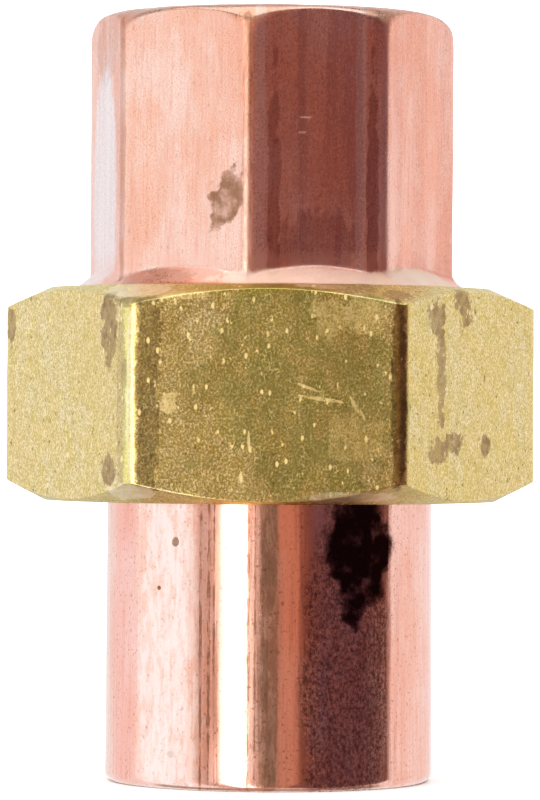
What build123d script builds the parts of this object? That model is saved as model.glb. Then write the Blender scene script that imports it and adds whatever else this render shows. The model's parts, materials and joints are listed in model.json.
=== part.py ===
"""A pipe union for half-inch copper tube, with a solder cup at each end.

Three pieces share one axis. The tailpiece has a ball-shaped nose and a collar. The hexagonal brass nut
hangs on that collar by its lip. The octagonal body has a male thread and a conical seat, and the nut
draws it down onto the ball, metal to metal, with no gasket.

Millimetres. Z is the pipe axis and Z = 0 is the tailpiece's lower end, on which the union can stand.
The pieces are modelled tightened, with one pair of nut flats facing along Y.
"""

from build123d import *
from math import asin, cos, pi, radians, sin, sqrt, tan
import os

# Copper tube, and the solder cups that take it
TUBE_DIAMETER = 15.875
SOLDER_GAP = 0.04
CUP_RADIUS = TUBE_DIAMETER / 2 + SOLDER_GAP
CUP_DEPTH = 12.7
CUP_MOUTH_CHAMFER = 0.2
WATERWAY_RADIUS = 6.95

# Heights along the axis, from the bottom up
TAIL_EXPOSED = 15.4
NUT_HEIGHT = 11.68
BODY_EXPOSED = 15.02
NUT_TOP = TAIL_EXPOSED + NUT_HEIGHT
OVERALL = NUT_TOP + BODY_EXPOSED

# Clearances between pieces that move on each other
AXIAL_GAP = 0.05
SEAT_GAP = 0.04
THREAD_FLANK_GAP = 0.08
THREAD_CREST_GAP = 0.10

# Screw thread: 7/8 inch, 16 turns to the inch, 60 degree flanks, right-handed
PITCH = 25.4 / 16
THREAD_RADIUS = 11.10
THREAD_DEPTH = 0.96
THREAD_CREST_WIDTH = 0.16
FLANK_SLOPE = tan(radians(30))
MALE_ROOT = THREAD_RADIUS - THREAD_DEPTH
FEMALE_ROOT = THREAD_RADIUS + THREAD_CREST_GAP
FEMALE_CREST = MALE_ROOT + THREAD_CREST_GAP
ROOT_OVERLAP = 0.08
# Each ridge is swept longer than its thread, an even number of turns, and its ends are cut off
RIDGE_TURNS = 8

# Tailpiece
TAIL_MOUTH_RADIUS = 9.01
TAIL_NECK_RADIUS = 8.93
TAIL_EDGE_ROUND = 0.55
COLLAR_RADIUS = 10.05
COLLAR_TOP = 19.7
COLLAR_EDGE = 0.2
NOSE_TIP_RADIUS = 7.35

# Ground joint: a ball on the tailpiece, a cone in the body
BALL_RADIUS = 11.0
SEAT_HALF_ANGLE = radians(40)
SEAT_MOUTH_RADIUS = 9.45
BODY_END = 20.38
SEAT_APEX = BODY_END + SEAT_MOUTH_RADIUS / tan(SEAT_HALF_ANGLE)
BALL_CENTRE = SEAT_APEX - (BALL_RADIUS + SEAT_GAP) / sin(SEAT_HALF_ANGLE)

# Nut
NUT_SIDES = 6
NUT_ACROSS_FLATS = 25.4
NUT_CORNER_ROUND = 0.8
NUT_TOP_CIRCLE = 12.07
NUT_TOP_CHAMFER = radians(24)
NUT_BOTTOM_CIRCLE = 12.40
NUT_BOTTOM_CHAMFER = radians(27)
NUT_LIP_THICKNESS = 2.2
NUT_LIP_RADIUS = 9.15
NUT_LIP_CHAMFER = 0.25
NUT_MOUTH_RADIUS = 11.30
NUT_MOUTH_DEPTH = 0.5
NUT_MOUTH_CHAMFER = 0.2
NUT_GROOVE_BOTTOM = 18.9
NUT_GROOVE_TOP = 20.1
NUT_GROOVE_RADIUS = 11.25

# Octagonal body
OCTAGON_SIDES = 8
OCTAGON_ACROSS_FLATS = 18.76
OCTAGON_CORNER_ROUND = 0.9
OCTAGON_TURN = -6.4
OCTAGON_TOP_ROUND = 1.6
DOME_OVERHANG = 0.06
LEDGE_TOP = 28.11
LEDGE_SLOPE = radians(38)
LEDGE_FOOT_RADIUS = 10.5
LEDGE_ROOT_DEPTH = 0.4
FLANGE_RADIUS = THREAD_RADIUS
FLANGE_SUNK_IN_NUT = 0.3
FLANGE_BOTTOM = NUT_TOP - FLANGE_SUNK_IN_NUT
NECK_LENGTH = 0.78
NECK_BOTTOM = FLANGE_BOTTOM - NECK_LENGTH
BODY_END_RADIUS = 9.75

# A radius outside every piece, for the outlines that cut them
BEYOND = 20


def turned(outline):
    """The solid that an outline of (radius, height) points or joined edges makes, turned about the axis."""
    if isinstance(outline[0], tuple):
        outline = Polyline(*outline, close=True).edges()
    flat = make_face(Plane.XZ * Curve(children=list(outline)))
    return revolve(flat, Axis.Z)


def hollow(points):
    """A bore to cut away, from a list of (radius, height) points going up, closed along the axis."""
    low, high = points[0][1], points[-1][1]
    return turned([(0, low), *points, (0, high)])


def prism(sides, across_flats, corner_round, turn, bottom, top):
    """A regular prism with rounded upright corners. At turn 0 one corner points along X."""
    outline = RegularPolygon(across_flats / 2, sides, major_radius=False, rotation=turn)
    outline = fillet(outline.vertices(), corner_round)
    return Pos(0, 0, bottom) * extrude(outline, top - bottom)


def thread_ridge(root, crest, root_width, crest_width, middle):
    """A helical ridge on the thread's pitch. Its middle is at this height where it crosses the X axis."""
    start = middle - RIDGE_TURNS / 2 * PITCH
    section = Polyline(
        (root, -root_width / 2),
        (crest, -crest_width / 2),
        (crest, crest_width / 2),
        (root, root_width / 2),
        close=True,
    )
    path = Edge.make_helix(PITCH, RIDGE_TURNS * PITCH, root)
    ridge = Solid.sweep(make_face(Plane.XZ * section).face(), path=path, is_frenet=True)
    return Pos(0, 0, start) * ridge


def make_tailpiece():
    collar_bottom = TAIL_EXPOSED + NUT_LIP_THICKNESS + AXIAL_GAP
    ball_edge = sqrt(BALL_RADIUS**2 - (COLLAR_TOP - BALL_CENTRE) ** 2)
    nose_tip = BALL_CENTRE + sqrt(BALL_RADIUS**2 - NOSE_TIP_RADIUS**2)
    middle_angle = (asin(ball_edge / BALL_RADIUS) + asin(NOSE_TIP_RADIUS / BALL_RADIUS)) / 2
    ball_middle = (BALL_RADIUS * sin(middle_angle), BALL_CENTRE + BALL_RADIUS * cos(middle_angle))
    round_middle = TAIL_EDGE_ROUND * (1 - cos(pi / 4))

    body = Polyline(
        (0, nose_tip),
        (0, 0),
        (TAIL_MOUTH_RADIUS - TAIL_EDGE_ROUND, 0),
    )
    edge_round = ThreePointArc(
        (TAIL_MOUTH_RADIUS - TAIL_EDGE_ROUND, 0),
        (TAIL_MOUTH_RADIUS - round_middle, round_middle),
        (TAIL_MOUTH_RADIUS, TAIL_EDGE_ROUND),
    )
    neck_and_collar = Polyline(
        (TAIL_MOUTH_RADIUS, TAIL_EDGE_ROUND),
        (TAIL_NECK_RADIUS, TAIL_EXPOSED),
        (TAIL_NECK_RADIUS, collar_bottom),
        (COLLAR_RADIUS - COLLAR_EDGE, collar_bottom),
        (COLLAR_RADIUS, collar_bottom + COLLAR_EDGE),
        (COLLAR_RADIUS, COLLAR_TOP - COLLAR_EDGE),
        (COLLAR_RADIUS - COLLAR_EDGE, COLLAR_TOP),
        (ball_edge, COLLAR_TOP),
    )
    ball = ThreePointArc((ball_edge, COLLAR_TOP), ball_middle, (NOSE_TIP_RADIUS, nose_tip))
    tip = Line((NOSE_TIP_RADIUS, nose_tip), (0, nose_tip))
    edges = [*body.edges(), *edge_round.edges(), *neck_and_collar.edges(), *ball.edges(), *tip.edges()]

    bore = hollow(
        [
            (CUP_RADIUS + CUP_MOUTH_CHAMFER, 0),
            (CUP_RADIUS, CUP_MOUTH_CHAMFER),
            (CUP_RADIUS, CUP_DEPTH),
            (WATERWAY_RADIUS, CUP_DEPTH),
            (WATERWAY_RADIUS, nose_tip),
        ]
    )
    return turned(edges) - bore


def make_nut():
    lip_top = TAIL_EXPOSED + NUT_LIP_THICKNESS
    thread_top = NUT_TOP - NUT_MOUTH_DEPTH
    barrel = turned(
        [
            (0, TAIL_EXPOSED),
            (NUT_BOTTOM_CIRCLE, TAIL_EXPOSED),
            (BEYOND, TAIL_EXPOSED + (BEYOND - NUT_BOTTOM_CIRCLE) * tan(NUT_BOTTOM_CHAMFER)),
            (BEYOND, NUT_TOP - (BEYOND - NUT_TOP_CIRCLE) * tan(NUT_TOP_CHAMFER)),
            (NUT_TOP_CIRCLE, NUT_TOP),
            (0, NUT_TOP),
        ]
    )
    hexagon = prism(NUT_SIDES, NUT_ACROSS_FLATS, NUT_CORNER_ROUND, 0, TAIL_EXPOSED, NUT_TOP)
    bore = hollow(
        [
            (NUT_LIP_RADIUS + NUT_LIP_CHAMFER, TAIL_EXPOSED),
            (NUT_LIP_RADIUS, TAIL_EXPOSED + NUT_LIP_CHAMFER),
            (NUT_LIP_RADIUS, lip_top),
            (FEMALE_CREST, lip_top),
            (FEMALE_CREST, NUT_GROOVE_BOTTOM),
            (NUT_GROOVE_RADIUS, NUT_GROOVE_BOTTOM),
            (NUT_GROOVE_RADIUS, NUT_GROOVE_TOP),
            (FEMALE_ROOT, NUT_GROOVE_TOP),
            (FEMALE_ROOT, thread_top),
            (NUT_MOUTH_RADIUS, thread_top),
            (NUT_MOUTH_RADIUS, NUT_TOP - NUT_MOUTH_CHAMFER),
            (NUT_MOUTH_RADIUS + NUT_MOUTH_CHAMFER, NUT_TOP),
        ]
    )

    depth = FEMALE_ROOT - FEMALE_CREST
    full_width = PITCH - THREAD_CREST_WIDTH - 2 * THREAD_FLANK_GAP
    crest_width = full_width - 2 * (THREAD_RADIUS - FEMALE_CREST) * FLANK_SLOPE
    root_width = crest_width + 2 * (depth + ROOT_OVERLAP) * FLANK_SLOPE
    middle = (NUT_GROOVE_TOP + thread_top) / 2
    ridge = thread_ridge(
        FEMALE_ROOT + ROOT_OVERLAP,
        FEMALE_CREST,
        root_width,
        crest_width,
        thread_middle(middle) + PITCH / 2,
    )
    kept = turned(
        [
            (FEMALE_CREST - ROOT_OVERLAP, NUT_GROOVE_TOP + depth / 2),
            (FEMALE_ROOT + ROOT_OVERLAP, NUT_GROOVE_TOP - ROOT_OVERLAP / 2),
            (BEYOND, NUT_GROOVE_TOP - ROOT_OVERLAP / 2),
            (BEYOND, thread_top),
            (FEMALE_ROOT + ROOT_OVERLAP, thread_top),
            (FEMALE_CREST - ROOT_OVERLAP, thread_top - depth),
        ]
    )
    return (hexagon & barrel) - bore + (ridge & kept)


def thread_middle(height):
    """The height nearest to this one at which a male ridge's middle crosses the X axis."""
    return BODY_END + PITCH * round((height - BODY_END) / PITCH)


def make_threaded_body():
    # The top round is turned a little wider than the corners, so that it cuts across them.
    flat_radius = OCTAGON_ACROSS_FLATS / 2
    corner_radius = (flat_radius - OCTAGON_CORNER_ROUND) / cos(pi / OCTAGON_SIDES) + OCTAGON_CORNER_ROUND
    dome_radius = corner_radius + DOME_OVERHANG
    top_round_radius = dome_radius - OCTAGON_TOP_ROUND
    top_round_inset = OCTAGON_TOP_ROUND * (1 - cos(pi / 4))
    prism_bottom = FLANGE_BOTTOM
    dome = [
        *Polyline(
            (top_round_radius, OVERALL), (0, OVERALL), (0, prism_bottom), (dome_radius, prism_bottom),
            (dome_radius, OVERALL - OCTAGON_TOP_ROUND),
        ).edges(),
        *ThreePointArc(
            (dome_radius, OVERALL - OCTAGON_TOP_ROUND),
            (dome_radius - top_round_inset, OVERALL - top_round_inset),
            (top_round_radius, OVERALL),
        ).edges(),
    ]
    octagon = prism(
        OCTAGON_SIDES, OCTAGON_ACROSS_FLATS, OCTAGON_CORNER_ROUND, OCTAGON_TURN, prism_bottom, OVERALL
    )
    octagon = octagon & turned(dome)

    # The ledge under the flats falls away as a cone, then sweeps out level onto the flange.
    ledge_foot = LEDGE_TOP - (LEDGE_FOOT_RADIUS - flat_radius) * tan(LEDGE_SLOPE)
    sweep_radius = (FLANGE_RADIUS - LEDGE_FOOT_RADIUS) / sin(LEDGE_SLOPE)
    flange_top = ledge_foot - sweep_radius * (1 - cos(LEDGE_SLOPE))
    half_slope = LEDGE_SLOPE / 2
    sweep_middle = (
        FLANGE_RADIUS - sweep_radius * sin(half_slope),
        flange_top + sweep_radius * (1 - cos(half_slope)),
    )
    inside = flat_radius - LEDGE_ROOT_DEPTH
    ledge_start = (inside, LEDGE_TOP + (flat_radius - inside) * tan(LEDGE_SLOPE))
    flange = [
        *Polyline(
            (FLANGE_RADIUS, flange_top), (FLANGE_RADIUS, FLANGE_BOTTOM), (0, FLANGE_BOTTOM),
            (0, ledge_start[1]), ledge_start, (LEDGE_FOOT_RADIUS, ledge_foot),
        ).edges(),
        *ThreePointArc(
            (LEDGE_FOOT_RADIUS, ledge_foot), sweep_middle, (FLANGE_RADIUS, flange_top)
        ).edges(),
    ]
    shank = turned(
        [
            (0, BODY_END),
            (BODY_END_RADIUS, BODY_END),
            (MALE_ROOT, BODY_END + MALE_ROOT - BODY_END_RADIUS),
            (MALE_ROOT, FLANGE_BOTTOM),
            (0, FLANGE_BOTTOM),
        ]
    )

    root_width = THREAD_CREST_WIDTH + 2 * (THREAD_DEPTH + ROOT_OVERLAP) * FLANK_SLOPE
    middle = (BODY_END + NECK_BOTTOM) / 2
    ridge = thread_ridge(
        MALE_ROOT - ROOT_OVERLAP, THREAD_RADIUS, root_width, THREAD_CREST_WIDTH, thread_middle(middle)
    )
    kept = turned(
        [
            (0, BODY_END),
            (BODY_END_RADIUS, BODY_END),
            (BEYOND, BODY_END + BEYOND - BODY_END_RADIUS),
            (BEYOND, NECK_BOTTOM),
            (THREAD_RADIUS, NECK_BOTTOM - THREAD_DEPTH / 2),
            (MALE_ROOT - ROOT_OVERLAP, NECK_BOTTOM),
            (0, NECK_BOTTOM),
        ]
    )

    seat_top = SEAT_APEX - WATERWAY_RADIUS / tan(SEAT_HALF_ANGLE)
    bore = hollow(
        [
            (SEAT_MOUTH_RADIUS, BODY_END),
            (WATERWAY_RADIUS, seat_top),
            (WATERWAY_RADIUS, OVERALL - CUP_DEPTH),
            (CUP_RADIUS, OVERALL - CUP_DEPTH),
            (CUP_RADIUS, OVERALL - CUP_MOUTH_CHAMFER),
            (CUP_RADIUS + CUP_MOUTH_CHAMFER, OVERALL),
        ]
    )
    threaded_shank = shank + (ridge & kept)
    return octagon + turned(flange) + threaded_shank - bore


def main():
    os.makedirs("parts", exist_ok=True)
    pieces = {
        "tailpiece": make_tailpiece(),
        "union_nut": make_nut(),
        "threaded_body": make_threaded_body(),
    }
    for name, piece in pieces.items():
        export_step(piece, f"parts/{name}.step")


main()
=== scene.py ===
"""Looks for the pipe union: three pieces of turned and milled metal, rebuilt as fine meshes on the CAD frame.

Every piece is a closed loft: rows of points round the pipe axis, joined into one skin. Shapes and the marks
on them are given in millimetres, and everything else in metres.
"""

import json
from math import cos, pi, radians, sin, tan

import bmesh
import bpy
import numpy as np
from mathutils import Matrix, Vector, noise


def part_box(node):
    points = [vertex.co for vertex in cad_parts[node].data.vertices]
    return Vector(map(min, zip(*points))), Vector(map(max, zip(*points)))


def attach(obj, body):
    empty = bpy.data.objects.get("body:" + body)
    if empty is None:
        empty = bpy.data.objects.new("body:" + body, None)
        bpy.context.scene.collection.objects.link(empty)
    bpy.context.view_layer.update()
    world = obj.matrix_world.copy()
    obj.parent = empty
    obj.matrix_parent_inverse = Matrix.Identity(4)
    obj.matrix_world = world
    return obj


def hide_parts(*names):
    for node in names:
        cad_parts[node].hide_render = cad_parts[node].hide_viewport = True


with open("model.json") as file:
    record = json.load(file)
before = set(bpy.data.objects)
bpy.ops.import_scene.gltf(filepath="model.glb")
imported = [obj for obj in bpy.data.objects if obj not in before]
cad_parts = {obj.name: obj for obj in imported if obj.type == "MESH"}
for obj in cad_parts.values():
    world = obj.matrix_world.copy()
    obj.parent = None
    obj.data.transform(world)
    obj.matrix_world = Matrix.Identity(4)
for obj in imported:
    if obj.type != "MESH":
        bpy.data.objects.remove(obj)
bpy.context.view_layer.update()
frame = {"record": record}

MM = 0.001


def millimetres(corner):
    return [value / MM for value in corner]


# ---------------------------------------------------------------- sizes, from the frame where it has them

tail_high = millimetres(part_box("tailpiece")[1])
nut_low, nut_high = map(millimetres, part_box("union_nut"))
body_low, body_high = map(millimetres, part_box("threaded_body"))
mounts = {mount["name"]: mount for mount in frame["record"]["mounts"]}

CUP_RADIUS = mounts["lower_cup"]["dims"]["r_mm"]
CUP_CHAMFER = 0.2
CUP_DEPTH = mounts["lower_cup"]["dims"]["length_mm"] + CUP_CHAMFER
WATERWAY_RADIUS = 6.95

COLLAR_TOP = 19.7
BALL_RADIUS = 11.0
NOSE_TIP_RADIUS = 7.35
SEAT_RADIUS = 9.45
SEAT_HALF_ANGLE = radians(40)
BODY_END_RADIUS = 9.75
LIP_THICKNESS = 2.2
LIP_RADIUS = 9.15
AXIAL_GAP = 0.05

PITCH = 25.4 / 16
THREAD_RADIUS = 11.10
THREAD_DEPTH = 0.96
THREAD_CREST_WIDTH = 0.16
THREAD_FLANK_GAP = 0.08
THREAD_CREST_GAP = 0.10
FLANK_SLOPE = tan(radians(30))
MALE_ROOT = THREAD_RADIUS - THREAD_DEPTH
FEMALE_ROOT = THREAD_RADIUS + THREAD_CREST_GAP
FEMALE_CREST = MALE_ROOT + THREAD_CREST_GAP
SKIN = 0.012  # how far the looks stay inside the CAD surface where pieces meet
MERGE_DISTANCE = 2e-5  # points of a loft that are nearer than this become one


# ---------------------------------------------------------------- lofts

def smooth_min(a, b, reach):
    """The smaller of two values, rounded off where they are within reach of each other."""
    share = np.clip(0.5 + 0.5 * (b - a) / reach, 0, 1)
    return b * (1 - share) + a * share - reach * share * (1 - share)


def smooth_max(a, b, reach):
    """The larger of two values, rounded off in the same way."""
    return -smooth_min(-a, -b, reach)


def rows(points, step=0.5, arc_step=radians(15)):
    """Rows of (radius, height) along straight runs between points, with the corners rounded.

    A point is (radius, height) or (radius, height, round of the corner)."""
    points = [tuple(point) + (0.0,) * (3 - len(point)) for point in points]
    found = [np.array(points[0][:2])]
    for index in range(1, len(points)):
        here = np.array(points[index][:2])
        corner_round = points[index][2]
        target = here
        corner = []
        if corner_round and index < len(points) - 1:
            before = np.array(points[index - 1][:2]) - here
            after = np.array(points[index + 1][:2]) - here
            before = before / np.linalg.norm(before)
            after = after / np.linalg.norm(after)
            turn = pi - np.arccos(np.clip(before @ after, -1, 1))
            inset = corner_round * tan(turn / 2)
            middle = before + after
            centre = here + middle / np.linalg.norm(middle) * corner_round / cos(turn / 2)
            first = here + before * inset - centre
            last = here + after * inset - centre
            count = max(3, int(np.ceil(turn / arc_step)))
            for share in np.linspace(0, 1, count + 1):
                weights = sin((1 - share) * turn), sin(share * turn)
                corner.append(centre + (weights[0] * first + weights[1] * last) / sin(turn))
            target = corner[0]
        run = np.linalg.norm(target - found[-1])
        pieces = max(1, int(np.ceil(run / step)))
        start = found[-1]
        for share in np.linspace(0, 1, pieces + 1)[1:]:
            found.append(start + (target - start) * share)
        found.extend(corner[1:])
    return np.array(found)


def arc(centre, radius, start, end, count):
    """Rows on an arc, from one angle above the radial direction to another."""
    angles = np.radians(np.linspace(start, end, count))
    return np.stack([centre[0] + radius * np.cos(angles), centre[1] + radius * np.sin(angles)], axis=1)


def sector_angles(sides, turn, per_sector):
    """Angles round the axis, closer together at a prism's corners. The last repeats the first."""
    steps = np.linspace(-1, 1, per_sector + 1)[:-1]
    within = np.sin(steps * pi / 2) * pi / sides
    middles = turn + pi / sides + np.arange(sides) * 2 * pi / sides
    angles = (middles[:, None] + within[None, :]).ravel()
    return np.append(angles, angles[0] + 2 * pi)


def prism_radius(angles, sides, across_flats, corner_round, turn):
    """A prism's radius at each angle, and how near each angle is to a corner, from 0 to 1."""
    half = pi / sides
    flat = across_flats / 2
    from_flat = np.abs((angles - turn) % (2 * half) - half)
    to_corner = half - from_flat
    reach = (flat - corner_round) / cos(half)
    inside = np.maximum(corner_round**2 - (reach * np.sin(to_corner)) ** 2, 0)
    on_round = reach * np.cos(to_corner) + np.sqrt(inside)
    straight = flat / np.cos(from_flat)
    tangent = np.arctan((flat - corner_round) * tan(half) / flat)
    radius = np.where(from_flat <= tangent, straight, on_round)
    return radius, np.clip(1 - to_corner / (half - tangent) / 1.6, 0, 1)


def plain(path, angles, skin=1.0, wear=0.0):
    """A section of a loft with the same rows all the way round."""
    ones = np.ones(len(angles))
    return {
        "r": path[:, :1] * ones,
        "z": path[:, 1:] * ones,
        "skin": np.full((len(path), len(angles)), skin),
        "wear": np.full((len(path), len(angles)), wear),
        "turned": np.zeros((len(path), len(angles))),
    }


def mark_corners(section, prism, corner):
    """Marks a turned section that is about to be cut to a prism: worn at corners, turned inside the prism."""
    edge = 0.15  # how far inside or outside the prism the marks fade
    section["wear"] = corner[None, :] * (section["r"] > prism - edge)
    section["turned"] = np.clip((prism[None, :] - section["r"]) / edge + 0.5, 0, 1)


def thread_rows(low, high, angles, first, phases, radius_at):
    """A section whose rows run along the helix. first is where a ridge's middle crosses the X axis."""
    turns = np.arange(-40, 60)  # far more than any of the threads has
    heights = np.sort((first + PITCH * (turns[:, None] + np.array(phases)[None, :])).ravel())
    heights = heights[(heights > low - PITCH * 1.001) & (heights < high + PITCH * 0.001)]
    z = np.clip(heights[:, None] + PITCH * (angles / (2 * pi))[None, :], low, high)
    offset = ((z - first) / PITCH - angles[None, :] / (2 * pi) + 0.5) % 1 - 0.5
    r = radius_at(np.abs(offset) * PITCH, z)
    return {
        "r": r,
        "z": z,
        "skin": np.zeros_like(r),
        "wear": np.full_like(r, 0.3),
        "turned": np.zeros_like(r),
    }


def ridge_phases(crest_width, depth):
    """Where rows lie within one pitch: on the crest, its edges, the flanks and the root."""
    crest = crest_width / 2 / PITCH
    foot = crest + depth * FLANK_SLOPE / PITCH
    near = 0.028  # how close the rows beside an edge lie to it, in pitches
    half = [crest - near / 2, crest + near, (crest + foot) / 2, foot - near, foot + near]
    return [0.0] + half + [0.5] + [1 - phase for phase in half]


def loft(name, sections, angles):
    """One closed skin through the rows of all sections, which go up the outside and down the inside."""
    r = np.concatenate([section["r"] for section in sections])
    z = np.concatenate([section["z"] for section in sections])
    count, columns = r.shape
    x = r * np.cos(angles)[None, :]
    y = r * np.sin(angles)[None, :]
    points = np.stack([x, y, z], axis=-1).reshape(-1, 3) * MM
    row, column = np.meshgrid(np.arange(count), np.arange(columns - 1), indexing="ij")
    above = (row + 1) % count
    faces = np.stack(
        [row * columns + column, row * columns + column + 1, above * columns + column + 1,
         above * columns + column],
        axis=-1,
    ).reshape(-1, 4)
    mesh = bpy.data.meshes.new(name)
    mesh.from_pydata(points.tolist(), [], faces.tolist())
    for label in ("skin", "wear", "turned"):
        values = np.concatenate([section[label] for section in sections])
        attribute = mesh.attributes.new(label, "FLOAT", "POINT")
        attribute.data.foreach_set("value", values.ravel().astype(np.float32))
    shell = bmesh.new()
    shell.from_mesh(mesh)
    bmesh.ops.remove_doubles(shell, verts=shell.verts, dist=MERGE_DISTANCE * MM)
    bmesh.ops.recalc_face_normals(shell, faces=shell.faces)
    for face in shell.faces:
        face.smooth = True
    shell.to_mesh(mesh)
    shell.free()
    piece = bpy.data.objects.new(name, mesh)
    bpy.context.scene.collection.objects.link(piece)
    return piece


def weather(piece, depth, size, seed):
    """Sinks the outer skin here and there by up to depth, so that no surface is perfectly true."""
    mesh = piece.data
    skin = np.zeros(len(mesh.vertices), np.float32)
    mesh.attributes["skin"].data.foreach_get("value", skin)
    shift = Vector((seed, seed * 1.7, seed * 0.3))
    roughness, lacunarity, octaves = 0.6, 2.1, 3
    normals = [vertex.normal.copy() for vertex in mesh.vertices]
    for vertex, normal, share in zip(mesh.vertices, normals, skin):
        if share > 0:
            value = noise.fractal(vertex.co / (size * MM) + shift, roughness, lacunarity, octaves)
            vertex.co -= normal * (depth * MM * share * (0.5 + 0.5 * max(-1, min(1, value))))


# ---------------------------------------------------------------- the three pieces

def make_tailpiece():
    mouth, neck = 9.01 - SKIN, 8.93 - SKIN
    mouth_round = 0.55
    neck_top = nut_low[2] + LIP_THICKNESS + AXIAL_GAP
    collar = tail_high[0] - SKIN
    tip = tail_high[2] - SKIN
    ball_radius, ball_edge = BALL_RADIUS - SKIN, 9.70
    ball_centre = tip - np.sqrt(ball_radius**2 - NOSE_TIP_RADIUS**2)
    angles = np.linspace(0, 2 * pi, 289)
    outside = rows(
        [
            (CUP_RADIUS + CUP_CHAMFER, 0), (mouth, 0, mouth_round), (neck, nut_low[2]),
            (neck, neck_top, 0.05), (collar, neck_top, 0.12), (collar, COLLAR_TOP, 0.2),
            (ball_edge, COLLAR_TOP),
        ],
        step=0.4, arc_step=radians(9),
    )
    start = np.degrees(np.arccos(ball_edge / ball_radius))
    end = np.degrees(np.arccos(NOSE_TIP_RADIUS / ball_radius))
    ball = arc((0, ball_centre), ball_radius, start, end, 14)
    waterway, cup = WATERWAY_RADIUS + SKIN, CUP_RADIUS + SKIN
    inside = rows(
        [
            (NOSE_TIP_RADIUS, tip), (waterway, tip, 0.08), (waterway, CUP_DEPTH, 0.06),
            (cup, CUP_DEPTH, 0.12), (cup, CUP_CHAMFER), (CUP_RADIUS + CUP_CHAMFER, 0),
        ],
        step=0.6,
    )
    sections = [
        plain(outside, angles), plain(ball[1:], angles, skin=0), plain(inside[1:-1], angles, skin=0),
    ]
    return loft("copper_tailpiece", sections, angles)


def make_nut():
    bottom, top = nut_low[2], nut_high[2]
    across, corner_round = 2 * (nut_high[1] - SKIN), 0.8
    widest = 15.3  # a circle outside the corners, from which the chamfers run inwards
    top_slope, bottom_slope = tan(radians(24)), tan(radians(27))
    top_circle, bottom_circle = 12.07, 12.40
    edge_reach = 0.07
    lip_top, lip_chamfer = bottom + LIP_THICKNESS, 0.25
    groove_low, thread_low, thread_high = 18.9, 20.1, top - 0.5
    mouth, mouth_chamfer = 11.30, 0.2
    angles = sector_angles(6, 0, 48)
    prism, corner = prism_radius(angles, 6, across, corner_round, 0)
    low_edge = bottom + (widest - bottom_circle) * bottom_slope
    high_edge = top - (widest - top_circle) * top_slope
    path = np.concatenate(
        [
            rows([(LIP_RADIUS + lip_chamfer, bottom), (bottom_circle, bottom)], step=0.45),
            rows([(bottom_circle, bottom), (widest, low_edge)], step=0.09)[1:],
            rows([(widest, low_edge), (widest, high_edge)], step=0.55)[1:],
            rows([(widest, high_edge), (top_circle, top)], step=0.09)[1:],
            rows([(top_circle, top), (mouth + mouth_chamfer, top)], step=0.3)[1:],
        ]
    )
    outside = plain(path, angles)
    mark_corners(outside, prism, corner)
    outside["r"] = smooth_min(outside["r"], prism[None, :], edge_reach)

    mouth_rows = rows(
        [
            (mouth + mouth_chamfer, top), (mouth, top - mouth_chamfer), (mouth, thread_high, 0.04),
            (FEMALE_ROOT, thread_high),
        ],
        step=0.3,
    )
    width = PITCH - THREAD_CREST_WIDTH - 2 * THREAD_FLANK_GAP
    depth = FEMALE_ROOT - FEMALE_CREST
    crest_width = width - 2 * (THREAD_RADIUS - FEMALE_CREST) * FLANK_SLOPE

    def radius_at(offset, z):
        rise = smooth_max(0, (offset - crest_width / 2) / FLANK_SLOPE, 0.05)
        ridge = FEMALE_CREST + smooth_min(rise, depth, 0.08)
        ends = FEMALE_ROOT - np.minimum(thread_high - z, z - thread_low)
        return np.maximum(ridge, ends)

    first = body_low[2] + PITCH / 2
    thread = thread_rows(thread_low, thread_high, angles, first, ridge_phases(crest_width, depth), radius_at)
    flipped = {key: values[::-1] for key, values in thread.items()}
    groove_step = 0.05
    groove = FEMALE_ROOT + groove_step
    inside = rows(
        [
            (FEMALE_ROOT, thread_low), (groove, thread_low - groove_step), (groove, groove_low, 0.1),
            (FEMALE_CREST, groove_low, 0.08), (FEMALE_CREST, lip_top, 0.15), (LIP_RADIUS, lip_top, 0.1),
            (LIP_RADIUS, bottom + lip_chamfer, 0.05), (LIP_RADIUS + lip_chamfer, bottom),
        ],
        step=0.5,
    )
    sections = [
        outside, plain(mouth_rows[1:-1], angles, skin=0, wear=0.4), flipped,
        plain(inside[1:-1], angles, skin=0),
    ]
    return loft("brass_union_nut", sections, angles)


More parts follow.
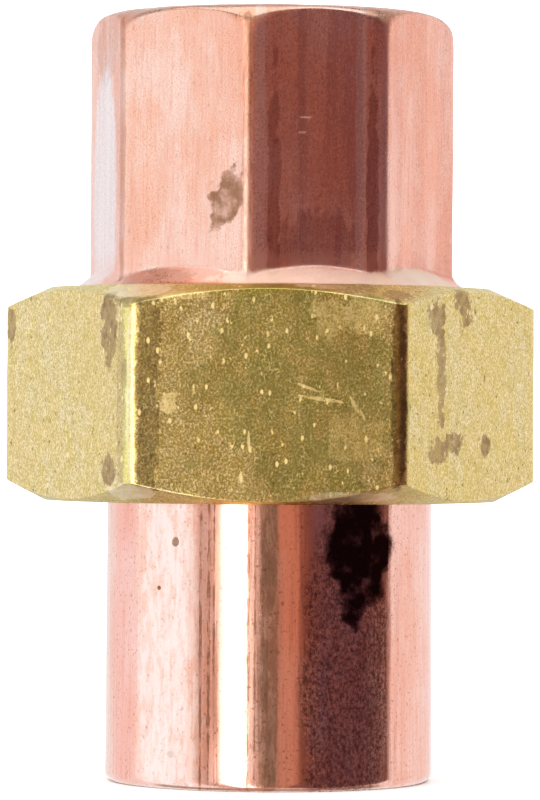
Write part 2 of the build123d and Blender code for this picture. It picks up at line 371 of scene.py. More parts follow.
def make_threaded_body():
    bottom, top = body_low[2], body_high[2]
    turn = radians(-6.4)
    across, corner_round, top_round = 18.76 - 2 * SKIN, 0.9, 1.6
    dome_radius = 10.14 - SKIN
    edge_reach = 0.16
    flange_bottom = nut_high[2] - 0.3
    flange = body_high[0] - SKIN
    neck_bottom = flange_bottom - 0.78
    ledge_slope, ledge_top, ledge_foot, ledge_start = radians(38), 28.11, 10.5, 8.9
    run_out_slope = 1.9
    angles = sector_angles(8, turn, 36)
    prism, corner = prism_radius(angles, 8, across, corner_round, turn)

    end_rows = rows([(SEAT_RADIUS, bottom), (BODY_END_RADIUS, bottom)], step=0.15)

    def radius_at(offset, z):
        fall = smooth_max(0, (offset - THREAD_CREST_WIDTH / 2) / FLANK_SLOPE, 0.04)
        ridge = THREAD_RADIUS - SKIN - smooth_min(fall, THREAD_DEPTH - SKIN, 0.08)
        lead_in = BODY_END_RADIUS + (z - bottom)
        run_out = MALE_ROOT + (neck_bottom - z) * run_out_slope
        return np.minimum(np.minimum(ridge, lead_in), run_out)

    phases = ridge_phases(THREAD_CREST_WIDTH, THREAD_DEPTH)
    thread = thread_rows(bottom, neck_bottom, angles, bottom, phases, radius_at)

    foot_height = ledge_top - (ledge_foot - across / 2) * tan(ledge_slope)
    sweep = (flange - ledge_foot) / sin(ledge_slope)
    flange_top = foot_height - sweep * (1 - cos(ledge_slope))
    neck = rows(
        [(MALE_ROOT, neck_bottom), (MALE_ROOT, flange_bottom, 0.12), (flange, flange_bottom, 0.08),
         (flange, flange_top - 0.02)],
        step=0.3,
    )
    sweep_arc = arc((flange, flange_top + sweep), sweep, -90, -90 - np.degrees(ledge_slope), 12)
    ledge_end = (ledge_start, ledge_top + (across / 2 - ledge_start) * tan(ledge_slope))
    ledge = rows([tuple(sweep_arc[-1]), ledge_end], step=0.07)
    flare = plain(np.concatenate([sweep_arc, ledge[1:]]), angles)
    flare["wear"] = 0.5 + 0.5 * (1 - np.clip(np.abs(flare["r"] - prism) / 0.3, 0, 1))
    hollow_reach = 0.12 + 0.35 * corner[None, :]  # softest at the corners
    flare["r"] = smooth_max(flare["r"], prism[None, :], hollow_reach)

    wide = 10.4  # a circle outside the corners
    shoulder = top - top_round
    wide_top = shoulder - 0.3
    path = np.concatenate(
        [
            rows([(wide, ledge_end[1]), (wide, wide_top)], step=0.55)[1:],
            rows([(wide, wide_top), (dome_radius, shoulder)], step=0.08)[1:],
            arc((dome_radius - top_round, shoulder), top_round, 0, 90, 19)[1:],
            rows([(dome_radius - top_round, top), (CUP_RADIUS + CUP_CHAMFER, top)], step=0.2)[1:],
        ]
    )
    flats = plain(path, angles)
    mark_corners(flats, prism, corner)
    flats["r"] = smooth_min(flats["r"], prism[None, :], edge_reach)

    seat_top = bottom + (SEAT_RADIUS - WATERWAY_RADIUS) / tan(SEAT_HALF_ANGLE)
    waterway, cup = WATERWAY_RADIUS + SKIN, CUP_RADIUS + SKIN
    inside = rows(
        [
            (CUP_RADIUS + CUP_CHAMFER, top), (cup, top - CUP_CHAMFER), (cup, top - CUP_DEPTH, 0.12),
            (waterway, top - CUP_DEPTH, 0.06), (waterway, seat_top + SKIN, 0.1), (SEAT_RADIUS, bottom),
        ],
        step=0.6,
    )
    sections = [
        plain(end_rows, angles, skin=0), {key: values[1:-1] for key, values in thread.items()},
        plain(neck, angles, skin=0, wear=0.2), flare, flats, plain(inside[1:-1], angles, skin=0),
    ]
    return loft("copper_threaded_body", sections, angles)


# ---------------------------------------------------------------- material building blocks

class Look:
    """A node material with one metal shader, and short names for the nodes that paint it."""

    def __init__(self, name):
        self.material = bpy.data.materials.new(name)
        self.material.use_nodes = True
        self.nodes = self.material.node_tree.nodes
        self.links = self.material.node_tree.links
        self.shader = self.nodes["Principled BSDF"]
        self.shader.inputs["Metallic"].default_value = 1.0
        self.place = self.nodes.new("ShaderNodeTexCoord").outputs["Object"]

    def put(self, socket, value):
        """Links another node's output to a socket, or gives the socket a constant."""
        if isinstance(value, bpy.types.NodeSocket):
            self.links.new(value, socket)
        elif isinstance(value, tuple) and len(value) == 3 and socket.type == "RGBA":
            socket.default_value = (*value, 1.0)
        else:
            socket.default_value = value

    def stretched(self, scale):
        """Object coordinates multiplied by one factor for each axis, in cycles per metre."""
        node = self.nodes.new("ShaderNodeVectorMath")
        node.operation = "MULTIPLY"
        self.put(node.inputs[0], self.place)
        node.inputs[1].default_value = scale
        return node.outputs[0]

    def noise(self, scale, detail=3.0, roughness=0.55):
        """Noise from about 0.3 to 0.7. scale is cycles per metre, one number or one for each axis."""
        scale = scale if isinstance(scale, tuple) else (scale,) * 3
        node = self.nodes.new("ShaderNodeTexNoise")
        self.put(node.inputs["Vector"], self.stretched(scale))
        node.inputs["Scale"].default_value = 1.0
        node.inputs["Detail"].default_value = detail
        node.inputs["Roughness"].default_value = roughness
        return node.outputs["Fac"]

    def cells(self, scale):
        """Distance to the nearest of a scatter of points, in units of their spacing."""
        node = self.nodes.new("ShaderNodeTexVoronoi")
        self.put(node.inputs["Vector"], self.stretched(scale))
        node.inputs["Scale"].default_value = 1.0
        return node.outputs["Distance"]

    def scaled(self, value, factor):
        return self.math("MULTIPLY", value, factor)

    def raised(self, value, mask, amount):
        """value, with a share of a mask added."""
        return self.math("ADD", value, self.scaled(mask, amount))

    def math(self, operation, a, b=0.0):
        node = self.nodes.new("ShaderNodeMath")
        node.operation = operation
        self.put(node.inputs[0], a)
        self.put(node.inputs[1], b)
        return node.outputs[0]

    def span(self, value, low, high, to_low=0.0, to_high=1.0):
        """value from low to high, mapped smoothly to the second pair and held beyond."""
        node = self.nodes.new("ShaderNodeMapRange")
        node.interpolation_type = "SMOOTHSTEP"
        self.put(node.inputs["Value"], value)
        for key, number in (("From Min", low), ("From Max", high), ("To Min", to_low), ("To Max", to_high)):
            node.inputs[key].default_value = number
        return node.outputs["Result"]

    def blend(self, share, a, b):
        """Colour a, turning into colour b as share goes from 0 to 1."""
        node = self.nodes.new("ShaderNodeMix")
        node.data_type = "RGBA"
        self.put(node.inputs["Factor"], share)
        self.put(node.inputs["A"], a)
        self.put(node.inputs["B"], b)
        return node.outputs["Result"]

    def attribute(self, name):
        node = self.nodes.new("ShaderNodeAttribute")
        node.attribute_name = name
        return node.outputs["Fac"]

    def patch(self, centre, size, ragged, scale, tilt=0.0):
        """A mask, 1 inside a ragged blot round a point and 0 outside.

        centre and size are millimetres, and tilt is degrees about the Y axis."""
        away = self.nodes.new("ShaderNodeVectorMath")
        away.operation = "SUBTRACT"
        self.put(away.inputs[0], self.place)
        away.inputs[1].default_value = [value * MM for value in centre]
        turned = self.nodes.new("ShaderNodeVectorRotate")
        turned.rotation_type = "Y_AXIS"
        self.put(turned.inputs["Vector"], away.outputs[0])
        turned.inputs["Angle"].default_value = radians(tilt)
        scaled = self.nodes.new("ShaderNodeVectorMath")
        scaled.operation = "DIVIDE"
        self.put(scaled.inputs[0], turned.outputs[0])
        scaled.inputs[1].default_value = [value * MM for value in size]
        length = self.nodes.new("ShaderNodeVectorMath")
        length.operation = "LENGTH"
        self.put(length.inputs[0], scaled.outputs[0])
        edge = self.math("MULTIPLY", self.math("SUBTRACT", self.noise(scale, 4), 0.5), ragged)
        return self.span(self.math("ADD", length.outputs["Value"], edge), 1.12, 0.88)

    def bump(self, height, distance, before=None):
        node = self.nodes.new("ShaderNodeBump")
        node.inputs["Strength"].default_value = 1.0
        node.inputs["Distance"].default_value = distance
        self.put(node.inputs["Height"], height)
        if before is not None:
            self.put(node.inputs["Normal"], before)
        return node.outputs["Normal"]

    def finish(self, colour, roughness, normal):
        self.put(self.shader.inputs["Base Color"], colour)
        self.put(self.shader.inputs["Roughness"], roughness)
        self.put(self.shader.inputs["Normal"], normal)
        return self.material


COPPER = (0.93, 0.57, 0.46)
COPPER_DRAWN = (0.93, 0.55, 0.43)
COPPER_PALE = (0.95, 0.66, 0.57)
COPPER_RED = (0.86, 0.44, 0.33)
COPPER_BROWN = (0.36, 0.19, 0.11)
COPPER_BLACK = (0.08, 0.03, 0.035)
COPPER_MAROON = (0.42, 0.17, 0.15)
COPPER_CREAM = (1.0, 0.84, 0.72)
COPPER_SILVER = (0.90, 0.76, 0.72)
COPPER_PAINTED_REFLECTION = (0.97, 0.76, 0.69)
BRASS = (1.0, 0.79, 0.46)
BRASS_PALE = (1.0, 0.84, 0.62)
BRASS_GOLD = (1.0, 0.80, 0.36)
BRASS_WARM = (1.0, 0.785, 0.50)
BRASS_OLIVE = (0.60, 0.49, 0.17)
BRASS_DULL = (0.98, 0.82, 0.48)
BRASS_LIGHT = (1.0, 0.85, 0.50)
BRASS_STAIN = (0.42, 0.29, 0.16)
BRASS_PAINTED_HIGHLIGHT = (1.0, 0.86, 0.66)
BRASS_GREEN = (0.46, 0.43, 0.15)
BRASS_BROWN = (0.26, 0.19, 0.09)

# Streaks, nicks and colour marks on the threaded body, and painted highlights along the top of the ledge:
# middle and half-size in millimetres, raggedness, strength and colour. The cream ones are rough too, so that
# they catch the light.
BODY_MARKS = [
    # Paler and greyer over the whole far-left flat.
    ((-9.3, -2.7, 31.5), (1.6, 3.0, 8.0), 0.6, 0.90, COPPER_SILVER),
    ((-7.95, -6.3, 35.0), (0.20, 0.9, 10.0), 1.2, 0.35, COPPER_BROWN),
    ((-1.12, -10.0, 35.0), (0.22, 0.6, 10.0), 1.4, 0.50, COPPER_BROWN),
    ((-0.45, -9.5, 35.0), (0.34, 0.8, 14.0), 0.7, 0.90, COPPER_PALE),
    ((0.30, -9.4, 30.0), (0.34, 0.8, 9.0), 1.6, 0.35, COPPER_MAROON),
    # Darker and redder towards the bottom of the front-right flat.
    ((2.6, -9.0, 29.2), (2.5, 1.6, 1.8), 1.6, 0.30, COPPER_MAROON),
    ((4.92, -8.1, 35.0), (0.30, 0.9, 14.0), 0.7, 0.95, COPPER_PALE),
    ((5.55, -7.9, 30.0), (0.34, 0.9, 9.0), 1.6, 0.50, COPPER_MAROON),
    ((1.97, -9.0, 36.0), (0.36, 0.9, 0.06), 0.4, 1.0, COPPER_CREAM),
    ((1.80, -9.0, 35.2), (0.24, 0.9, 0.06), 0.4, 1.0, COPPER_CREAM),
    # Painted highlights: cream crescents along the top of the ledge, under the front flats.
    ((3.0, -9.9, 27.35), (6.0, 2.6, 0.62), 0.9, 0.80, COPPER_CREAM),
    ((8.0, -6.8, 27.3), (3.2, 4.0, 0.8), 0.6, 1.0, COPPER_CREAM),
    ((-6.2, -8.4, 27.4), (2.6, 2.5, 0.6), 1.2, 0.25, COPPER_BROWN),
]


def body_copper():
    """Drawn and milled copper: fine upright grain, mottled pink, with a brown smudge by one corner."""
    look = Look("drawn_copper")
    grain = look.noise((9000, 9000, 420), 4, 0.6)
    mottle = look.noise((300, 300, 140), 4, 0.6)
    blush = look.noise((150, 150, 90), 2, 0.5)
    streaks = look.noise((900, 900, 45), 3, 0.5)
    film = look.noise((9500, 9500, 6500), 4, 0.8)
    flecks = look.noise((6200, 6200, 3400), 2)
    colour = look.blend(look.span(mottle, 0.38, 0.62, 0, 0.9), COPPER_DRAWN, COPPER_PALE)
    colour = look.blend(look.span(blush, 0.48, 0.62, 0, 0.30), colour, COPPER_RED)
    colour = look.blend(look.span(grain, 0.46, 0.68, 0, 0.45), colour, COPPER_RED)
    colour = look.blend(look.span(flecks, 0.62, 0.75, 0, 0.28), colour, COPPER_BROWN)
    smudge = look.patch((-2.15, -9.2, 31.7), (0.78, 3.0, 1.75), 1.8, 1100, tilt=-22)
    smudge = look.scaled(smudge, look.span(look.noise(1500, 3), 0.3, 0.62, 0.35, 0.8))
    colour = look.blend(smudge, colour, COPPER_BROWN)
    rough_marks = []
    for centre, size, ragged, strength, shade in BODY_MARKS:
        mark = look.scaled(look.patch(centre, size, ragged, (2200, 2200, 700)), strength)
        colour = look.blend(mark, colour, shade)
        if shade is COPPER_CREAM:
            rough_marks.append(mark)
    tarnish = look.patch((-9.0, -3.2, 40.3), (1.7, 2.8, 1.9), 2.4, 700)
    colour = look.blend(look.scaled(tarnish, 0.16), colour, COPPER_BROWN)
    wear = look.attribute("wear")
    worn = look.scaled(wear, look.span(mottle, 0.4, 0.6, 0.1, 0.5))
    colour = look.blend(worn, colour, COPPER_PALE)
    colour = look.blend(look.scaled(look.attribute("turned"), 0.34), colour, COPPER_BROWN)
    roughness = look.span(film, 0.30, 0.72, 0.20, 0.50)
    roughness = look.math("SUBTRACT", roughness, look.span(streaks, 0.46, 0.62, 0, 0.12))
    roughness = look.raised(roughness, wear, 0.14)
    for mark in rough_marks:
        roughness = look.raised(roughness, mark, 0.2)
    normal = look.bump(look.noise(180, 2), 1.2e-5)
    normal = look.bump(grain, 2.4e-6, normal)
    return look.finish(colour, roughness, normal)


# Pinpricks and drawing lines on the tube, and a pale band that is a painted reflection: middle and half-size
# in millimetres, raggedness, strength and colour. Those taller than BROKEN_HALF_HEIGHT are broken up by
# noise.
BROKEN_HALF_HEIGHT = 2
TAIL_MARKS = [
    # Painted reflection: a pale band down the left of the tube, where the bright left panels are mirrored.
    ((-5.2, -7.3, 7.0), (1.9, 2.6, 12.0), 0.8, 0.65, COPPER_PAINTED_REFLECTION),
    ((-4.9, -7.5, 13.3), (0.20, 1.0, 0.25), 0.7, 0.75, COPPER_BROWN),
    ((-5.8, -6.8, 10.8), (0.10, 1.0, 0.12), 0.7, 0.95, COPPER_BROWN),
    ((-5.1, -7.3, 1.9), (0.22, 1.0, 0.18), 1.4, 0.18, COPPER_BROWN),
    ((-3.52, -8.2, 8.0), (0.08, 0.6, 9.0), 2.2, 0.65, COPPER_BROWN),
    ((-3.08, -8.4, 8.0), (0.09, 0.6, 9.5), 2.2, 0.65, COPPER_BROWN),
    ((-2.80, -8.5, 9.0), (0.06, 0.6, 7.0), 2.2, 0.6, COPPER_BROWN),
    ((-0.95, -8.9, 8.0), (0.06, 0.6, 9.0), 2.2, 0.7, COPPER_BROWN),
    ((-0.60, -8.9, 8.0), (0.06, 0.6, 9.0), 2.2, 0.6, COPPER_BROWN),
    ((0.15, -8.9, 8.0), (0.52, 0.6, 12.0), 0.5, 0.36, COPPER_BROWN),
]


def tail_copper():
    """Polished copper tube: mirror bands, drawing lines, pinpricks, a painted pale reflection band and a blot
    of dark tarnish.
    """
    look = Look("polished_copper")
    lines = look.noise((5200, 5200, 150), 4, 0.6)
    streaks = look.noise((1500, 1500, 60), 3, 0.5)
    mottle = look.noise((420, 420, 180), 4, 0.6)
    haze = look.noise((8200, 8200, 5200), 4, 0.75)
    cloud = look.noise((700, 700, 420), 4, 0.6)
    specks = look.noise(5200, 3, 0.6)
    colour = look.blend(look.span(mottle, 0.35, 0.65), COPPER, COPPER_PALE)
    colour = look.blend(look.span(lines, 0.48, 0.70, 0, 0.26), colour, COPPER_RED)
    colour = look.blend(look.span(streaks, 0.48, 0.66, 0, 0.22), colour, COPPER_RED)
    colour = look.blend(look.span(haze, 0.50, 0.66, 0, 0.40), colour, COPPER_RED)
    blot = look.patch((4.9, -7.3, 13.0), (1.7, 4.0, 3.6), 1.4, 500)
    blot = look.scaled(blot, look.span(look.noise(900, 4), 0.28, 0.52, 0.45, 0.97))
    colour = look.blend(blot, colour, COPPER_BLACK)
    colour = look.blend(look.span(specks, 0.58, 0.72, 0, 0.5), colour, COPPER_BROWN)
    broken = look.span(look.noise((2600, 2600, 800), 4, 0.65), 0.40, 0.56, 0.2, 1)
    for centre, size, ragged, strength, shade in TAIL_MARKS:
        mark = look.scaled(look.patch(centre, size, ragged, 1600), strength)
        if size[2] > BROKEN_HALF_HEIGHT:
            mark = look.scaled(mark, broken)
        colour = look.blend(mark, colour, shade)
    tarnished = look.patch((4.3, -7.8, 6.0), (2.6, 3.0, 10.0), 0.5, 400)
    bloom = look.span(look.noise((5600, 5600, 4200), 6, 0.8), 0.36, 0.62, 0.62, 0.0)
    colour = look.blend(look.scaled(bloom, tarnished), colour, COPPER_BLACK)
    film = look.scaled(look.span(haze, 0.40, 0.68, 0, 0.42), look.span(cloud, 0.36, 0.6, 0.4, 1))
    film = look.scaled(film, look.span(tarnished, 0, 1, 0.16, 1))
    roughness = look.math("ADD", film, look.span(lines, 0.36, 0.66, 0.07, 0.22))
    roughness = look.scaled(roughness, look.span(blot, 0.2, 0.9, 1.0, 0.35))
    normal = look.bump(look.noise((90, 90, 40), 2), 1.0e-5)
    normal = look.bump(lines, 1.8e-6, normal)
    return look.finish(colour, roughness, normal)


# Stains and scratches on the nut, with painted shade down the front corners and painted highlights in cream
# on
# the chamfers and the left front corner: middle and half-size in millimetres, raggedness, strength, tilt in
# degrees and colour. The dull and light ones are rubbed rough.
NUT_STAINS_AND_PAINTED_LIGHT = [
    ((-8.35, -10.8, 24.9), (0.55, 1.2, 2.0), 1.5, 1.0, 0, BRASS_STAIN),
    ((-8.3, -10.8, 17.2), (0.5, 1.1, 0.9), 1.4, 0.95, 0, BRASS_STAIN),
    ((-14.3, -0.8, 24.9), (0.35, 1.0, 1.1), 1.3, 0.85, 0, BRASS_STAIN),
    # Painted shade: a dark strip down the rounded left front corner.
    ((-7.65, -12.1, 20.8), (0.30, 0.8, 5.0), 1.2, 0.30, 0, BRASS_BROWN),
    ((-7.5, -12.5, 22.2), (0.22, 0.8, 0.8), 1.3, 0.45, 0, BRASS_STAIN),
    # Painted highlight: a bright line down the left front corner.
    ((-7.18, -12.2, 21.2), (0.17, 0.8, 5.4), 0.8, 0.65, 0, BRASS_PAINTED_HIGHLIGHT),
    ((-7.3, -12.4, 26.1), (0.8, 0.9, 0.4), 1.6, 0.50, 0, BRASS_BROWN),
    # Painted shade: a dark band beside the left front corner, the full height of the nut.
    ((-6.25, -12.7, 21.2), (0.66, 0.6, 9.0), 2.6, 0.60, 0, BRASS_BROWN),
    ((-4.4, -12.6, 26.5), (1.3, 0.6, 0.28), 1.8, 0.55, 0, BRASS_DULL),
    ((-5.1, -12.7, 20.7), (0.45, 0.6, 0.7), 2.4, 0.85, 0, BRASS_LIGHT),
    ((-0.5, -12.3, 26.8), (4.0, 0.9, 0.40), 1.2, 0.65, 0, BRASS_OLIVE),
    ((3.3, -12.7, 25.3), (0.95, 0.6, 1.0), 2.0, 0.42, 0, BRASS_DULL),
    ((5.3, -12.7, 25.4), (1.0, 0.6, 1.1), 1.6, 0.50, 0, BRASS_DULL),
    ((4.6, -12.7, 18.9), (1.3, 0.6, 1.3), 2.4, 0.28, 0, BRASS_DULL),
    # Painted shade: a dark band down the right front corner.
    ((7.0, -12.6, 21.2), (0.40, 0.7, 6.0), 1.4, 0.80, 0, BRASS_BROWN),
    ((9.15, -9.9, 25.3), (0.60, 1.3, 0.95), 2.8, 0.90, 0, BRASS_STAIN),
    ((10.6, -7.3, 25.9), (0.65, 1.2, 1.0), 2.8, 0.90, 25, BRASS_STAIN),
    ((9.3, -9.6, 22.3), (0.24, 1.0, 3.2), 3.2, 0.80, 0, BRASS_STAIN),
    ((9.3, -9.7, 18.2), (0.7, 1.4, 0.8), 2.0, 0.85, 0, BRASS_STAIN),
    ((10.1, -8.2, 18.7), (0.6, 1.2, 0.6), 2.0, 0.95, 0, BRASS_STAIN),
    ((11.8, -5.1, 18.5), (0.34, 0.8, 0.62), 1.0, 1.0, 0, BRASS_STAIN),
    ((9.9, -8.7, 22.6), (0.16, 0.4, 0.3), 1.2, 0.80, 0, BRASS_STAIN),
    # Painted highlights: a cream wedge and a streak on the top chamfer.
    ((-7.0, -11.3, 26.8), (1.9, 2.5, 0.45), 1.5, 0.85, 0, BRASS_PAINTED_HIGHLIGHT),
    ((3.2, -12.3, 27.0), (1.7, 0.8, 0.20), 1.2, 0.85, 0, BRASS_PAINTED_HIGHLIGHT),
    ((7.0, -11.6, 26.5), (0.9, 1.2, 0.30), 1.0, 0.60, 0, BRASS_STAIN),
    # Painted highlights: a cream wedge and a streak on the bottom chamfer.
    ((-7.2, -11.6, 16.0), (1.4, 2.2, 0.45), 1.5, 0.85, 0, BRASS_PAINTED_HIGHLIGHT),
    ((4.5, -12.1, 15.8), (3.0, 1.2, 0.30), 1.2, 0.90, 0, BRASS_PAINTED_HIGHLIGHT),
    ((-0.9, -12.7, 18.8), (0.08, 0.5, 0.6), 1.2, 1.0, 0, BRASS_LIGHT),
    ((-1.3, -12.7, 16.8), (0.08, 0.5, 0.3), 1.2, 1.0, 0, BRASS_LIGHT),
    ((2.9, -12.7, 21.0), (1.3, 0.5, 0.10), 1.4, 0.80, -8, BRASS_LIGHT),
    ((2.2, -12.7, 21.6), (0.7, 0.5, 0.08), 1.4, 0.65, -20, BRASS_LIGHT),
    ((4.7, -12.7, 20.6), (0.09, 0.5, 0.6), 1.4, 0.75, 28, BRASS_LIGHT),
    ((5.1, -12.7, 20.1), (0.09, 0.5, 0.5), 1.4, 0.70, 28, BRASS_LIGHT),
]


def nut_brass():
    """Forged brass: a fine pitted skin that glitters, olive in the hollows, with grey-brown stains, painted
    shade down the front corners and painted highlights on the chamfers.
    """
    look = Look("forged_brass")
    grit = look.noise((8200, 8200, 6800), 4, 0.75)
    cloud = look.noise((700, 700, 500), 4, 0.6)
    film = look.noise((1900, 1900, 1500), 4, 0.65)
    pits = look.noise((3400, 3400, 2800), 2)
    zones = look.noise((300, 300, 220), 3, 0.6)
    swirl = look.noise((1500, 1500, 1200), 3, 0.6)
    colour = look.blend(look.span(cloud, 0.35, 0.65), BRASS, BRASS_PALE)
    colour = look.blend(look.span(zones, 0.46, 0.60, 0, 0.70), colour, BRASS_WARM)
    colour = look.blend(look.span(grit, 0.42, 0.62, 0.80, 0), colour, BRASS_OLIVE)
    colour = look.blend(look.span(film, 0.46, 0.70, 0, 0.45), colour, BRASS_OLIVE)
    green = look.patch((1.5, -12.7, 22.0), (5.6, 0.9, 5.6), 2.2, 260)
    green = look.scaled(green, look.span(cloud, 0.42, 0.6, 0.25, 0.60))
    colour = look.blend(green, colour, BRASS_GREEN)
    colour = look.blend(look.span(pits, 0.66, 0.72, 0, 0.65), colour, BRASS_BROWN)
    wear = look.attribute("wear")
    colour = look.blend(look.scaled(wear, 0.4), colour, BRASS_GOLD)
    rub = 0.0
    # Stains and scratches, and the painted shade and painted highlights from the same table.
    for centre, size, ragged, strength, tilt, shade in NUT_STAINS_AND_PAINTED_LIGHT:
        stain_and_painted_light = look.patch(centre, size, ragged, 1700, tilt)
        stain_and_painted_light = look.scaled(stain_and_painted_light, look.span(film, 0.35, 0.6, strength, 0.6 * strength))
        colour = look.blend(stain_and_painted_light, colour, shade)
        if shade in (BRASS_DULL, BRASS_LIGHT):
            rub = look.math("MAXIMUM", stain_and_painted_light, rub)
    fleck = look.span(look.cells((2500, 2500, 1250)), 0.26, 0.16)
    fleck = look.scaled(fleck, look.span(look.noise(1700, 2), 0.48, 0.56))
    hairline = look.math("ABSOLUTE", look.math("SUBTRACT", swirl, 0.5))
    hairline = look.scaled(look.span(hairline, 0.016, 0.004), look.span(cloud, 0.54, 0.64, 0, 0.5))
    bright = look.math("MAXIMUM", fleck, hairline)
    colour = look.blend(bright, colour, BRASS_LIGHT)
    roughness = look.span(grit, 0.3, 0.7, 0.16, 0.30)
    roughness = look.raised(roughness, look.attribute("turned"), 0.16)
    roughness = look.raised(roughness, wear, 0.10)
    roughness = look.raised(roughness, bright, 0.26)
    roughness = look.raised(roughness, rub, 0.15)
    normal = look.bump(look.noise(240, 2), 1.6e-5)
    normal = look.bump(grit, 0.7e-5, normal)
    return look.finish(colour, roughness, normal)


# ---------------------------------------------------------------- studio

PANEL_DISTANCE = 0.6
PANEL_LOW, PANEL_HIGH = -0.62, 0.60
FRONT_PANEL_LOW = -1.6
PANEL_STEP = 3  # degrees of azimuth to each face
RING_FACES = 48
# Panels round the object: name, first and last azimuth, whether it is deep, strength and tint. Azimuth 0 is
# behind the camera, and 90 is the +X side. The deep ones, on the camera's side, reach down to the floor's far
# edge, as the lower rim of the tube shows.
PANELS = [
    ("left_rear", -180, -140, False, 0.60, (0.98, 1.05, 1.10)),
    ("left_side", -140, -106, False, 0.61, (1.00, 1.03, 1.12)),
    ("left", -106, -58, True, 0.70, (0.92, 1.07, 1.15)),
    ("left_near", -58, -51, True, 0.64, (0.98, 1.02, 1.04)),
    ("left_gap", -51, -34, True, 0.45, (1.0, 0.95, 0.93)),
    ("key", -30.5, -14, True, 1.9, (1.0, 1.0, 1.0)),
    ("front_light", -14, -7, True, 0.52, (1.0, 0.97, 0.96)),
    ("front", -7, 7, True, 0.27, (1.0, 0.96, 0.86)),
    ("warm_edge", 7, 22, True, 0.41, (1.0, 0.68, 0.56)),
    ("warm_fade", 22, 30, True, 0.22, (1.0, 0.66, 0.58)),
    ("dark_flag", 30, 78, True, 0.190, (1.0, 0.75, 0.88)),
    ("dark_edge", 78, 94, True, 0.20, (1.0, 0.74, 0.72)),
    ("right", 94, 125, False, 0.585, (1.02, 1.03, 1.07)),
    ("right_rear", 125, 180, False, 0.60, (1.00, 1.03, 1.08)),
]

# Level rings above and below: name, height, first and last azimuth, inner and outer radius, strength and tint
COOL = (0.94, 1.08, 1.14)
WARM = (1.05, 1.0, 0.95)
NEARLY_WHITE = (1.02, 1.0, 1.0)
ZENITH_RADIUS = 0.40
RINGS = [
    ("zenith", PANEL_HIGH, 0, 360, 0.0, ZENITH_RADIUS, 0.95, COOL),
    ("ceiling", PANEL_HIGH, 0, 360, ZENITH_RADIUS, PANEL_DISTANCE, 0.24, COOL),
    ("below_rear", PANEL_LOW, 94, 254, 0.0, PANEL_DISTANCE, 0.34, WARM),
    ("below_front", FRONT_PANEL_LOW, 0, 360, 0.0, PANEL_DISTANCE, 0.45, NEARLY_WHITE),
]


def at_azimuth(azimuth, distance, height):
    """A point at this distance from the pipe axis, with its azimuth in radians."""
    return Vector((distance * sin(azimuth), -distance * cos(azimuth), height))


def emitting(name, strength, tint):
    material = bpy.data.materials.new(name)
    material.use_nodes = True
    nodes = material.node_tree.nodes
    nodes.clear()
    glow = nodes.new("ShaderNodeEmission")
    glow.inputs["Color"].default_value = (*tint, 1.0)
    glow.inputs["Strength"].default_value = strength
    output = nodes.new("ShaderNodeOutputMaterial")
    material.node_tree.links.new(glow.outputs[0], output.inputs["Surface"])
    return material


def only_reflected(thing):
    """Seen in the metal and nowhere else, like a studio panel that is out of frame."""
    thing.visible_camera = False
    thing.visible_diffuse = False
    thing.visible_transmission = False
    thing.visible_shadow = False


def stage_mesh(name, points, faces, material):
    mesh = bpy.data.meshes.new(name)
    mesh.from_pydata(points, [], faces)
    thing = bpy.data.objects.new(name, mesh)
    mesh.materials.append(material)
    bpy.context.scene.collection.objects.link(thing)
    return thing


def add_strip(name, pairs, strength, tint):
    """A glowing strip between two rows of points, given as pairs with one point from each row."""
    points = [point for pair in pairs for point in pair]
    faces = [(2 * i, 2 * i + 2, 2 * i + 3, 2 * i + 1) for i in range(len(pairs) - 1)]
    only_reflected(stage_mesh("panel_" + name, points, faces, emitting("glow_" + name, strength, tint)))


def add_panels():
    for name, start, end, deep, strength, tint in PANELS:
        low = FRONT_PANEL_LOW if deep else PANEL_LOW
        azimuths = np.radians(np.linspace(start, end, max(2, int((end - start) / PANEL_STEP)) + 1))
        pairs = [
            (at_azimuth(azimuth, PANEL_DISTANCE, low), at_azimuth(azimuth, PANEL_DISTANCE, PANEL_HIGH))
            for azimuth in azimuths
        ]
        add_strip(name, pairs, strength, tint)
    for name, height, start, end, inner, outer, strength, tint in RINGS:
        azimuths = np.radians(np.linspace(start, end, RING_FACES + 1))
        pairs = [
            (at_azimuth(azimuth, outer, height), at_azimuth(azimuth, inner, height)) for azimuth in azimuths
        ]
        add_strip(name, pairs, strength, tint)


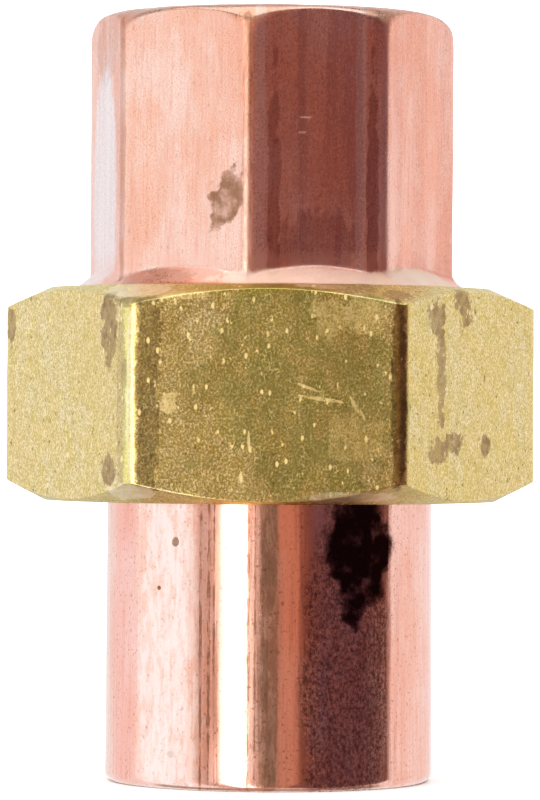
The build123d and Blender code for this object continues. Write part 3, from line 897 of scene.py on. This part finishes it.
def add_floor():
    material = bpy.data.materials.new("pale_floor")
    material.use_nodes = True
    shader = material.node_tree.nodes["Principled BSDF"]
    shader.inputs["Base Color"].default_value = (0.95, 0.95, 0.95, 1.0)
    shader.inputs["Roughness"].default_value = 0.9
    shader.inputs["Specular IOR Level"].default_value = 0.0
    reach = 1.5
    points = [(-reach, -reach, 0), (reach, -reach, 0), (reach, reach, 0), (-reach, reach, 0)]
    floor = stage_mesh("floor", points, [(0, 1, 2, 3)], material)
    floor.visible_glossy = False


def add_world():
    world = bpy.data.worlds.new("studio")
    bpy.context.scene.world = world
    world.use_nodes = True
    background = world.node_tree.nodes["Background"]
    background.inputs["Color"].default_value = (1.0, 1.0, 1.0, 1.0)
    background.inputs["Strength"].default_value = 1.05


CAMERA_DISTANCE = 0.2755
CAMERA_AZIMUTH = 0.95
CAMERA_HEIGHT = 0.02093
CAMERA_ROLL = 0.3
FRAME_HEIGHT = 0.04408  # what the camera takes in at the pipe axis, from top to bottom
SENSOR = 36.0


def add_camera():
    data = bpy.data.cameras.new("camera")
    camera = bpy.data.objects.new("camera", data)
    bpy.context.scene.collection.objects.link(camera)
    data.sensor_width = SENSOR
    data.lens = SENSOR * CAMERA_DISTANCE / FRAME_HEIGHT
    data.clip_start = 0.01
    stand = at_azimuth(radians(CAMERA_AZIMUTH), CAMERA_DISTANCE, CAMERA_HEIGHT)
    level = Vector((0, 0, CAMERA_HEIGHT)) - stand
    turn = level.to_track_quat("-Z", "Y").to_matrix().to_4x4()
    camera.matrix_world = Matrix.Translation(stand) @ turn @ Matrix.Rotation(radians(CAMERA_ROLL), 4, "Z")
    bpy.context.scene.camera = camera


# ---------------------------------------------------------------- assembly

def install(piece, body, node, material):
    """Gives a piece its material and its body, in place of a CAD node."""
    piece.data.materials.append(material)
    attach(piece, body)
    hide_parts(node)


tailpiece = make_tailpiece()
weather(tailpiece, depth=0.012, size=5.0, seed=3.1)
install(tailpiece, "tailpiece", "tailpiece", tail_copper())

nut = make_nut()
weather(nut, depth=0.03, size=2.6, seed=7.7)
install(nut, "nut", "union_nut", nut_brass())

body = make_threaded_body()
weather(body, depth=0.03, size=3.2, seed=12.4)
install(body, "threaded_body", "threaded_body", body_copper())

add_floor()
add_panels()
add_world()
add_camera()
view = bpy.context.scene.view_settings
view.view_transform = "Standard"
view.look = "Very High Contrast"
